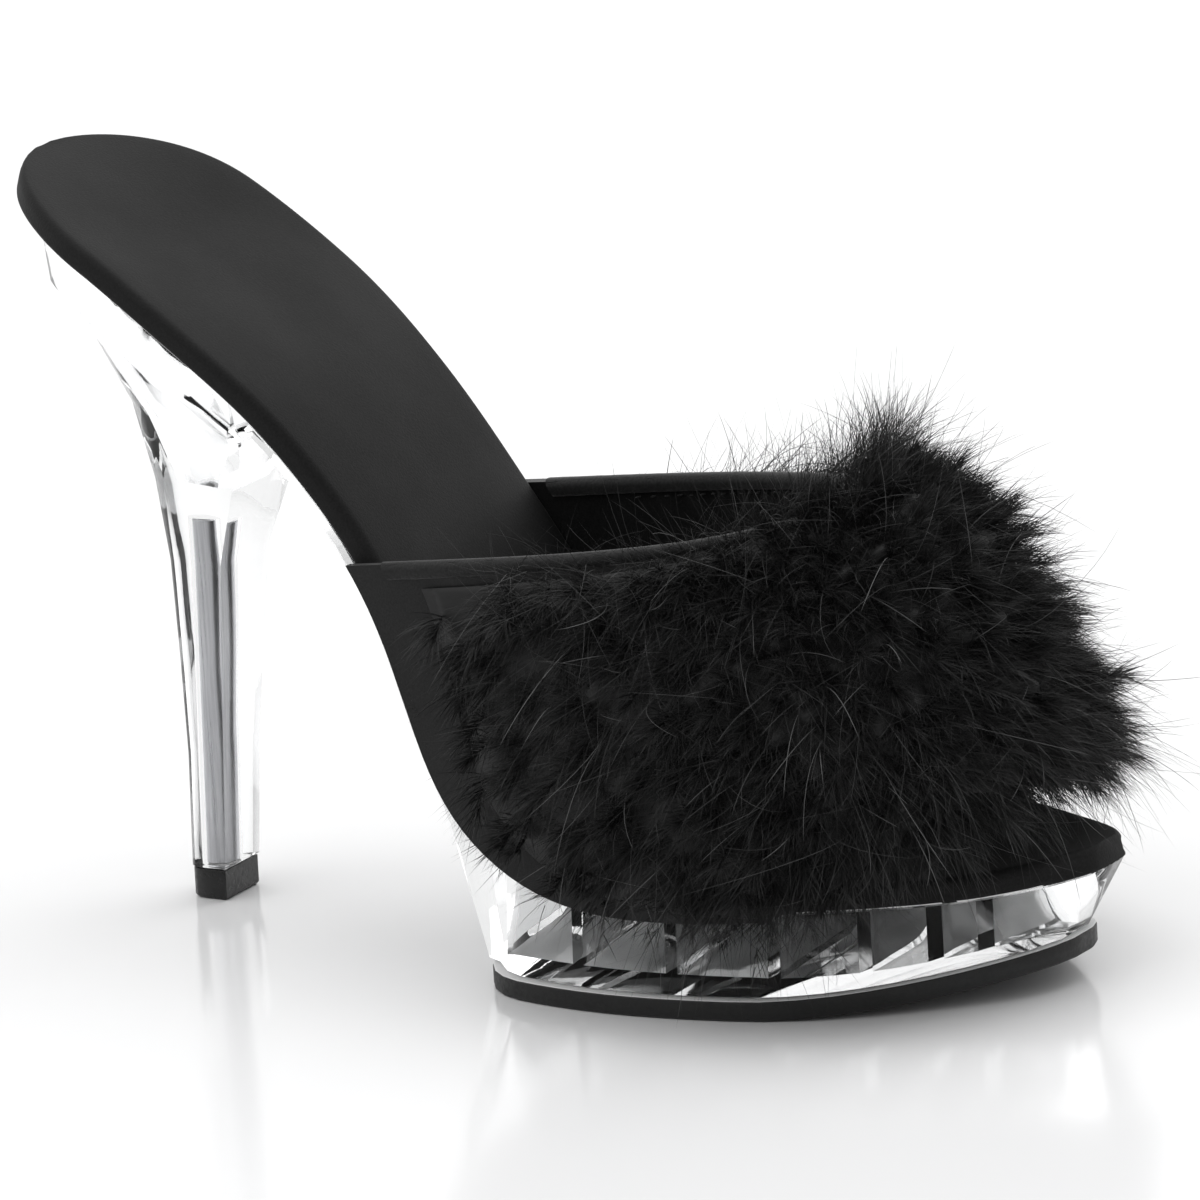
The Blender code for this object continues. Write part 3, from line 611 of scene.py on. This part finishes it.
# %% [markdown]
# ### Elastic binding
#
# The collar is held by a narrow elastic, folded over the satin's raw edge and sewn through. It
# is a flat roll that runs the whole way round the hoop, with a row of stitches below it.

# %% binding and its stitches
BINDING_WIDTH = 0.0034
BINDING_THICKNESS = 0.0031
BINDING_SIDES = 18
BINDING_COLUMNS = 260
STITCHES = 110
STITCH_LENGTH = 0.0014
STITCH_RADIUS = 0.00016


def binding_grid():
    """Points of the roll: a squared ring round the satin's edge, with a fine ribbed surface."""
    t = 0.004 + 0.992 * np.arange(BINDING_COLUMNS + 1)[:, None] / BINDING_COLUMNS
    lengths = np.array([hoop_length(v) for v in t[:, 0]])[:, None]
    a = 2 * np.pi * np.arange(BINDING_SIDES)[None, :] / BINDING_SIDES
    across = np.copysign(np.abs(np.cos(a)) ** 0.7, np.cos(a))
    up = np.copysign(np.abs(np.sin(a)) ** 0.7, np.sin(a))
    ripple = 1 + 0.05 * np.sin(2 * np.pi * 95 * t)
    reach = 0.5 * BINDING_WIDTH * (1 + across)
    along = hoop(0.02, t) - hoop(0.0, t)
    along = along / np.linalg.norm(along, axis=-1, keepdims=True)
    s, all_t = np.broadcast_arrays(reach / lengths, t)
    out = hoop_outward(s, all_t)
    above = np.minimum(0.0, reach - 0.3 * MM)[..., None]
    middle = hoop(s, all_t) + out * (0.5 * BAND_WALL) + along * above
    return middle + out * (0.5 * BINDING_THICKNESS * up * ripple)[..., None]


bm = wrapped_grid(BINDING_COLUMNS, BINDING_SIDES, binding_grid())
elastic = cloth("elastic", 0.005, 0.016, 2400.0, 0.5, 0.66, 0.25)
binding_piece = finish_piece("collar_binding", bm, elastic, angle=60)


def stitch_row(name, distance, lift):
    """Row of short thread stitches at one distance from the collar."""
    bm = bmesh.new()
    for k in range(STITCHES):
        t = 0.03 + 0.94 * (k + 0.5) / STITCHES
        s = distance / hoop_length(t)
        here = hoop(s, t)
        ahead = hoop(s, t + 0.002) - here
        ahead = Vector(ahead / np.linalg.norm(ahead))
        n = Vector(hoop_outward(s, t))
        turned = Matrix((ahead, n.cross(ahead), n)).transposed().to_4x4()
        turned.translation = Vector(here) + n * lift
        squash = Matrix.Diagonal((0.5 * STITCH_LENGTH, STITCH_RADIUS, STITCH_RADIUS, 1))
        bmesh.ops.create_icosphere(bm, subdivisions=1, radius=1.0, matrix=turned @ squash)
    return finish_piece(name, bm, thread, angle=180)


inner_stitches = stitch_row("inner_stitches", 0.0042, -0.00005)
print("binding", triangles(binding_piece), "stitches", triangles(inner_stitches))

# %% [markdown]
# ## Marabou
#
# Marabou is young turkey down: a soft quill with hundreds of thin barbs that stand out all
# round it. Rows of these plumes are sewn on the satin. A closed bed of down fills the depth
# near the satin, and single barbs make the soft, ragged outline. Each barb is a tapering ribbon
# of a few faces, and all of them are joined in a few meshes, because there are very many. Most
# barbs stop at the insole's edge, and a few hang lower as a thin fringe over the platform.

# %% field of the down
BINDING_MARGIN = 0.0052
FUR_GAP = 0.0006
FUR_BED = 0.0085
LOCK_LENGTH = 0.0100
DOWN_WAY = np.array([0.0, 0.0, -1.0])
TOE_WAY = np.array([1.0, 0.0, 0.0])


def fur_heading(s, t, droop=0.0):
    """Way that the down points: outward, sinking at the sides and toward the toe."""
    side = np.abs(np.cos(np.pi * t)) ** 1.5
    toe = s**2 * (1 - 0.6 * side)
    sink = 0.14 + 0.55 * side + 0.85 * toe + droop
    forward = 0.18 * toe - 0.05 * (1 - s)
    way = hoop_outward(s, t) + sink[..., None] * DOWN_WAY + forward[..., None] * TOE_WAY
    return way / np.linalg.norm(way, axis=-1, keepdims=True)


def fur_depth(s, t, lock):
    """Depth of the bed plus a share of the longest lock."""
    side = np.abs(np.cos(np.pi * t))
    start = 0.45 + 0.55 * np.minimum(1.0, s / 0.30)
    longer = 1 + 0.16 * s**2 * (1 - side**2)
    bed = FUR_BED * start * (1 - 0.32 * side**2) * longer
    return bed + lock * LOCK_LENGTH * (1 - 0.10 * side**2) * longer


def insole_top(x):
    """Height of the insole's top at x."""
    xs, zs = spine(fine)
    return np.interp(x, xs, zs)


SIDE_CLEAR = 0.0012
TOP_CLEAR = 0.0006
EDGE_DEPTH = 0.006
FLARE_HEIGHT = 0.0085
LOW_FLARE = 0.0042
HIGH_FLARE = 0.0016
FLOOR_CLEAR = 0.0022


def keep_clear(points):
    """Lay points that would enter the insole, the platform or the floor on their surface."""
    x, y, z = points[..., 0], points[..., 1], points[..., 2]
    xs, _ = spine(fine)
    u = np.interp(x, xs, fine)
    reach = half_width(np.clip(u, 0.004, 0.997))
    off = y - centre(u)
    before_toe = x < xs[-1] + MM
    inside = (np.abs(off) < reach + SIDE_CLEAR) & before_toe
    top = insole_top(x) + TOP_CLEAR
    on_top = inside & (z < top) & (z > top - EDGE_DEPTH)
    flare = np.where(z < FLARE_HEIGHT, LOW_FLARE, HIGH_FLARE)
    beside = (np.abs(off) < reach + flare) & (z <= top - EDGE_DEPTH) & before_toe
    z = np.where(on_top, top, z)
    y = np.where(beside, centre(u) + np.sign(off) * (reach + flare), y)
    z = np.maximum(z, FLOOR_CLEAR)
    return np.stack([x, y, z], axis=-1)


deepest = float(fur_depth(np.array(0.9), np.array(0.5), 1.0))
print("down reaches", round(deepest / MM, 1), "mm from the satin")

# %% bed of down
BED_COLUMNS = 150
BED_ROWS = 62
TUFTS_ALONG = 11
TUFTS_ACROSS = 24
BED_CLEAR = 0.0200


def bed_grid():
    """Outer points of the bed, thinning at both ends of the hoop."""
    t = np.linspace(0.012, 0.988, BED_COLUMNS + 1)
    first = np.array([BINDING_MARGIN / hoop_length(v) for v in t])
    s = first[:, None] + (1 - first[:, None]) * np.linspace(0, 1, BED_ROWS)[None, :]
    t = np.broadcast_to(t[:, None], s.shape)
    tuft = np.abs(np.sin(np.pi * TUFTS_ALONG * s) * np.sin(np.pi * TUFTS_ACROSS * t))
    tuft = tuft * (0.6 + 0.4 * np.sin(37 * s + 23 * t))
    root = hoop(s, t) + hoop_outward(s, t) * (BAND_WALL + FUR_GAP)
    ends = np.clip(np.minimum(t - 0.012, 0.988 - t) / 0.03, 0.05, 1)
    rim = np.clip(np.minimum((s - first[:, None]) / 0.12, (1.0 - s) / 0.05 + 0.25), 0.08, 1)
    reach = fur_depth(s, t, 0.45 * tuft) * 0.80 * ends * rim
    heading = fur_heading(s, t)
    room = (root[..., 2] - BED_CLEAR) / np.maximum(-heading[..., 2], 0.05)
    reach = np.where(heading[..., 2] < 0, np.clip(room, 0.0008, reach), reach)
    outer = root + heading * reach[..., None]
    return root, keep_clear(outer)


bed_root, bed_outer = bed_grid()


bed_ring = np.concatenate([bed_outer, bed_root[:, ::-1]], axis=1)
bm = wrapped_grid(BED_COLUMNS, 2 * BED_ROWS, bed_ring)
bed_piece = finish_piece("down_bed", bm, down, replaced=("marabou",), angle=180)
tone = bed_piece.data.attributes.new("tone", "FLOAT", "POINT")
tone.data.foreach_set("value", np.full(len(bed_piece.data.vertices), 0.05, np.float32))
print("bed", triangles(bed_piece), "triangles")

# %% ribbons for barbs
def ribbon_mesh(name, paths, widths, tones, material, normals):
    """One mesh of many tapering ribbons: paths is barbs by points by xyz."""
    count, steps, _ = paths.shape
    ahead = np.gradient(paths, axis=1)
    side = np.cross(ahead, normals[:, None, :])
    side = side / np.maximum(np.linalg.norm(side, axis=-1, keepdims=True), 1e-9)
    taper = np.linspace(1.0, 0.35, steps)[None, :, None] * widths[:, None, None] * 0.5
    left = paths - side * taper
    right = paths + side * taper
    body = np.stack([left[:, :-1], right[:, :-1]], axis=2).reshape(count, -1, 3)
    verts = np.concatenate([body, paths[:, -1:]], axis=1)
    per = verts.shape[1]
    quads = [(2 * k, 2 * k + 1, 2 * k + 3, 2 * k + 2) for k in range(steps - 2)]
    tip = (2 * (steps - 2), 2 * (steps - 2) + 1, per - 1)
    loops = np.array([v for quad in quads for v in quad] + list(tip))
    sizes = np.array([4] * len(quads) + [3])
    offsets = np.arange(count)[:, None] * per
    all_loops = (loops[None, :] + offsets).ravel()
    all_sizes = np.tile(sizes, count)
    mesh = bpy.data.meshes.new(name)
    mesh.vertices.add(count * per)
    mesh.vertices.foreach_set("co", verts.reshape(-1).astype(np.float32))
    mesh.loops.add(len(all_loops))
    mesh.loops.foreach_set("vertex_index", all_loops.astype(np.int32))
    mesh.polygons.add(len(all_sizes))
    starts = np.concatenate([[0], np.cumsum(all_sizes)[:-1]])
    mesh.polygons.foreach_set("loop_start", starts.astype(np.int32))
    mesh.update(calc_edges=True)
    mesh.validate()
    mesh.shade_smooth()
    value = mesh.attributes.new("tone", "FLOAT", "POINT")
    value.data.foreach_set("value", np.repeat(tones, per).astype(np.float32))
    mesh.materials.append(material)
    piece = bpy.data.objects.new(name, mesh)
    bpy.context.scene.collection.objects.link(piece)
    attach(piece, "root")
    return piece


SOFT_LOW = np.array([-1.0, -0.0630, 0.0035])
SOFT_HIGH = np.array([0.0862, 0.0620, 1.0])


def keep_in_box(paths, lowest):
    """Shorten the strands that reach past the soft limits round the shoe."""
    base = paths[:, :1]
    gone = paths - base
    low = np.broadcast_to(SOFT_LOW, (len(paths), 1, 3)).copy()
    low[:, 0, 2] = lowest
    ahead = (SOFT_HIGH - base) / np.maximum(gone, 1e-9)
    behind = (low - base) / np.minimum(gone, -1e-9)
    share = np.where(gone > 0, ahead, behind).min(axis=(1, 2))
    return base + gone * np.clip(share, 0.12, 1)[:, None, None]


def unit(vectors):
    """Vectors scaled to length one."""
    return vectors / np.maximum(np.linalg.norm(vectors, axis=-1, keepdims=True), 1e-9)


rng = np.random.default_rng(11)

# %% plumes and their barbs
PLUME_ROWS = 15
PLUME_COLUMNS = 62
BARBS = 132
BARB_STEPS = 4
BARB_WIDTH = 0.00017
BARB_LONG = 0.0092
BARB_GROUPS = 4
FRINGE_ENDS = (0.0205, 0.0145, 0.0060)
FRINGE_SHARES = (0.80, 0.14, 0.06)


def plume_axes():
    """Root, heading, length and outward way of each plume."""
    rows, columns = np.meshgrid(np.arange(PLUME_ROWS), np.arange(PLUME_COLUMNS), indexing="ij")
    t = (columns.ravel() + 0.5 + rng.uniform(-0.5, 0.5, rows.size)) / PLUME_COLUMNS
    t = 0.014 + 0.972 * t
    start = np.array([BINDING_MARGIN / hoop_length(v) for v in t])
    row_share = np.clip((rows.ravel() + rng.uniform(0.0, 1.0, rows.size)) / PLUME_ROWS, 0, 1)
    s = start + (1 - start) * row_share
    root = hoop(s, t) + hoop_outward(s, t) * (BAND_WALL + 0.0003)
    n = hoop_outward(s, t)
    droop = np.where(s > 0.9, rng.uniform(0.0, 1.1, s.size), 0.0)
    way = unit(fur_heading(s, t, droop) + rng.normal(0, 0.26, root.shape))
    length = fur_depth(s, t, rng.uniform(-0.1, 0.55, s.size))
    return root, way, length, n, t


plume_root, plume_way, plume_length, plume_out, plume_t = plume_axes()
plume_tone = rng.uniform(0.1, 0.9, len(plume_root)) ** 1.4


def barbs_of(chosen):
    """Barb paths for some plumes: they leave the quill at a wide angle and bend along it."""
    count = len(chosen) * BARBS
    owner = np.repeat(chosen, BARBS)
    q = rng.uniform(0.02, 1.0, count) ** 0.85
    root, way, length = plume_root[owner], plume_way[owner], plume_length[owner, None]
    base = root + way * length * q[:, None] + DOWN_WAY * length * (0.14 * q**2)[:, None]
    tangent = unit(way + DOWN_WAY * (0.28 * q)[:, None])
    around = unit(np.cross(tangent, unit(rng.normal(0, 1, base.shape))))
    inward = np.sum(around * plume_out[owner], axis=1) < -0.35 * (1 - q)
    around = np.where(inward[:, None], -around, around)
    angle = np.radians(72 - 44 * q + rng.normal(0, 9, count))[:, None]
    start_way = unit(tangent * np.cos(angle) + around * np.sin(angle))
    long = (BARB_LONG * (1.0 - 0.42 * q) * rng.uniform(0.5, 1.15, count))[:, None]
    bend = tangent * 0.30 + DOWN_WAY * 0.16 + rng.normal(0, 0.16, base.shape)
    steps = np.linspace(0, 1, BARB_STEPS)
    lowest = rng.choice(FRINGE_ENDS, count, p=FRINGE_SHARES)
    base = np.where((base[:, 2] < lowest)[:, None], root + way * length * 0.2, base)
    paths = np.stack([base + start_way * long * w + bend * long * w**2 for w in steps], axis=1)
    paths = keep_clear(keep_in_box(paths, lowest))
    widths = BARB_WIDTH * rng.uniform(0.6, 1.25, count)
    tones = np.clip(plume_tone[owner] * 0.7 + rng.uniform(0, 0.3, count), 0, 1)
    return paths, widths, tones, unit(rng.normal(0, 1, base.shape) + plume_out[owner])


barb_pieces = []
for k in range(BARB_GROUPS):
    chosen = np.where((plume_t >= k / BARB_GROUPS) & (plume_t < (k + 1) / BARB_GROUPS))[0]
    paths, widths, tones, faces = barbs_of(chosen)
    barb_pieces.append(ribbon_mesh(f"barbs_{k + 1}", paths, widths, tones, down, faces))
    print(barb_pieces[-1].name, "has", len(barb_pieces[-1].data.polygons), "faces")

# %% [markdown]
# ### Loose quills
#
# Here and there a bare quill end curls out of the down, and single long hairs stand above
# the collar; both are painted a paler grey, as painted highlights on black strands. Longer dark
# wisps soften the outline and lap over the collar. They are few beside the barbs, so each gets
# more points and a rounder bend.

# %% loose quills and stray hairs
# Name, material, count, places along the band, lengths, curl, lift, width and seed.
STRANDS = (
    ("loose_quills", highlight_strands, 420, (0.05, 1.0), (0.010, 0.022), 0.55, 0.0, 0.00017, 5),
    ("stray_hairs", highlight_strands, 160, (0.0, 0.35), (0.012, 0.024), 0.30, 0.9, 0.00010, 8),
    ("edge_wisps", down, 4200, (0.0, 1.0), (0.009, 0.019), 0.35, 0.0, 0.00012, 21),
    ("collar_wisps", down, 1300, (0.0, 0.12), (0.007, 0.016), 0.40, 0.8, 0.00012, 34),
)
STRAND_STEPS = 9


def curls(count, s_range, long_range, curl, lift, width, seed):
    """Long bent strands that start in the down."""
    strands = np.random.default_rng(seed)
    t = strands.uniform(0.05, 0.95, count)
    s = strands.uniform(*s_range, count)
    out = hoop_outward(s, t)
    depth = fur_depth(s, t, strands.uniform(0.0, 0.6, count))[:, None]
    way = unit(fur_heading(s, t) + strands.normal(0, 0.45, out.shape) + np.array([0, 0, lift]))
    base = hoop(s, t) + out * BAND_WALL + fur_heading(s, t) * depth * 0.6
    long = strands.uniform(*long_range, count)[:, None]
    side = unit(np.cross(way, strands.normal(0, 1, out.shape)))
    steps = np.linspace(0, 1, STRAND_STEPS)
    bend = side * strands.normal(0, curl, count)[:, None] + DOWN_WAY * (0.25 - 0.3 * lift)
    paths = np.stack([base + way * long * w + bend * long * w**2 for w in steps], axis=1)
    widths = strands.uniform(0.6, 1.3, count) * width
    paths = keep_clear(keep_in_box(paths, SOFT_LOW[2]))
    tones = strands.uniform(0.15, 1.0, count)
    return paths, widths, tones, unit(strands.normal(0, 1, out.shape))


def add_curls(name, material, *numbers):
    """One joined piece of long strands."""
    paths, widths, tones, faces = curls(*numbers)
    return ribbon_mesh(name, paths, widths, tones, material, faces)


for name, material, *numbers in STRANDS:
    piece = add_curls(name, material, *numbers)
    print(name, len(piece.data.polygons), "faces")

# %% [markdown]
# ## Floor and light
#
# The shoe stands on a glossy white table in a white room. Clear plastic only shows what is round
# it, so the room is bright beyond the shoe and greyer behind the camera, which draws the
# plastic's edges.

# %% floor
def floor_material():
    """White acrylic: bright, with a faint mirror image."""
    material, tree, shader = new_material(
        "white_table", Base_Color=(0.93, 0.93, 0.935, 1), Specular_IOR_Level=0.5)
    grain = add_grain(tree, shader, 60.0, 3.0, 0.0, 0.0001)
    spread = range_from(tree, grain.outputs["Broad"], 0.10, 0.16)
    tree.links.new(spread.outputs["Result"], shader.inputs["Roughness"])
    return material


bm = bmesh.new()
bmesh.ops.create_grid(bm, x_segments=1, y_segments=1, size=8.0)
floor_mesh = bpy.data.meshes.new("floor")
bm.to_mesh(floor_mesh)
bm.free()
floor_mesh.materials.append(floor_material())
floor = bpy.data.objects.new("floor", floor_mesh)
bpy.context.scene.collection.objects.link(floor)


def soft_light(name, place, aim, size, watts):
    """Square area light aimed at a point."""
    data = bpy.data.lights.new(name, "AREA")
    data.size = size
    data.energy = watts
    light = bpy.data.objects.new(name, data)
    light.location = place
    light.rotation_euler = (Vector(aim) - Vector(place)).to_track_quat("-Z", "Y").to_euler()
    bpy.context.scene.collection.objects.link(light)
    return light


soft_light("key", (-0.6, -1.3, 1.5), (0, 0, 0.05), 1.6, 9)
soft_light("top", (0.2, 0.3, 1.8), (0, 0, 0.05), 1.6, 12)
soft_light("rim", (0.7, 1.5, 0.9), (0, 0, 0.06), 1.5, 5)

world = bpy.data.worlds.new("white_room")
bpy.context.scene.world = world
world.use_nodes = True
sky = world.node_tree
background = sky.nodes["Background"]
background.inputs["Color"].default_value = (1.0, 1.0, 1.0, 1.0)
ray = sky.nodes.new("ShaderNodeTexCoord")
facing = sky.nodes.new("ShaderNodeVectorMath")
facing.operation = "DOT_PRODUCT"
turn = math.radians(AZIMUTH)
facing.inputs[1].default_value = (-math.sin(turn), math.cos(turn), 0.35)
sky.links.new(ray.outputs["Generated"], facing.inputs[0])
shade = sky.nodes.new("ShaderNodeMapRange")
shade.inputs["From Min"].default_value = -0.7
shade.inputs["From Max"].default_value = 0.3
shade.inputs["To Min"].default_value = 0.38
shade.inputs["To Max"].default_value = 0.92
sky.links.new(facing.outputs["Value"], shade.inputs["Value"])
sky.links.new(shade.outputs["Result"], background.inputs["Strength"])
bpy.context.scene.view_settings.view_transform = "Standard"
